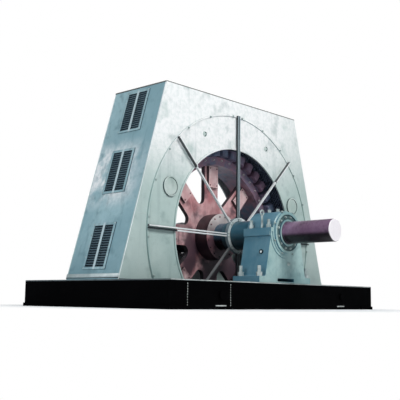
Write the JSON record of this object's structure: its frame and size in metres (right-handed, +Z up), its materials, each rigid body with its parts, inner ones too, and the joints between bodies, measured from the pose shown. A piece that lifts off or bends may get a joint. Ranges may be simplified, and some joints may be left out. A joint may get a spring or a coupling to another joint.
{
  "type": "synchronous motor",
  "caption": "Large horizontal synchronous motor: a salient-pole rotor on a shaft between two pedestal bearings, in a sloping box housing on a welded base frame over a pit.",
  "frame": {"origin": "centre of the base frame's underside, which is ground level; the lower casing hangs below it in a pit", "axes": "+Z up, +X along the base to the right as seen from the driving end, the shaft along Y with its driving end towards -Y"},
  "size_m": [5.98, 4.926, 5.043],
  "materials": {
    "base_black": "black gloss paint, worn at edges",
    "deck_plate": "pale grey paint",
    "louvre_paint": "blue-grey paint",
    "shield_paint": "sage paint, blotchy",
    "strut_paint": "pale grey paint",
    "housing_paint": "sage and blue-grey paint, blotchy",
    "casing_paint": "grey-green paint",
    "core_steel": "varnished laminations",
    "winding_varnish": "dark varnished tape",
    "bearing_paint": "teal and sage enamel",
    "bearing_metal": "machined bearing lining",
    "bright_fasteners": "zinc plated",
    "sight_glass": "clear",
    "shaft_steel": "turned and oiled",
    "sleeve_paint": "dark teal enamel",
    "rotor_red": "dusty red primer",
    "pole_steel": "varnished laminations",
    "coil_varnish": "dark varnish over copper strip"
  },
  "bodies": {
    "frame": {"base_cross_beams": "base_black", "base_deck": "deck_plate", "base_end_beams": "base_black", "base_inner_beams": "base_black", "base_long_beams": "base_black", "base_lugs": "base_black", "bearing_shells": "bearing_metal", "cap_fittings": "bright_fasteners", "front_bearing_cap": "bearing_paint", "front_end_cover": "bearing_paint", "front_pedestal": "bearing_paint", "front_plate_lower": "housing_paint", "front_plate_upper": "housing_paint", "front_shield_lower": "shield_paint", "front_shield_upper": "shield_paint", "front_strut_ring": "strut_paint", "front_struts": "strut_paint", "front_winding": "winding_varnish", "housing_left_side": "housing_paint", "housing_right_side": "housing_paint", "housing_roof": "housing_paint", "inspection_covers": "shield_paint", "left_louvres": "louvre_paint", "pedestal_studs": "bright_fasteners", "pit_casing_front": "casing_paint", "pit_casing_rear": "casing_paint", "pit_casing_tub": "casing_paint", "rear_bearing_cap": "bearing_paint", "rear_end_cover": "bearing_paint", "rear_pedestal": "bearing_paint", "rear_plate_lower": "housing_paint", "rear_plate_upper": "housing_paint", "rear_shield_lower": "shield_paint", "rear_shield_upper": "shield_paint", "rear_strut_ring": "strut_paint", "rear_struts": "strut_paint", "rear_winding": "winding_varnish", "right_louvres": "louvre_paint", "sight_glasses": "sight_glass", "stator_core": "core_steel", "stator_feet": "casing_paint"},
    "rotor": {"shaft": "shaft_steel", "shaft_sleeves": "sleeve_paint", "rotor_spider": "rotor_red", "arm_pads": "rotor_red", "rotor_rim": "rotor_red", "rotor_poles": "pole_steel", "field_coils": "coil_varnish"}
  },
  "joints": [
    {"name": "ROTOR", "type": "hinge", "parent": "frame", "child": "rotor", "pos_m": [0, 0, 1.38], "axis": [0, 1, 0], "continuous": true}
  ]
}
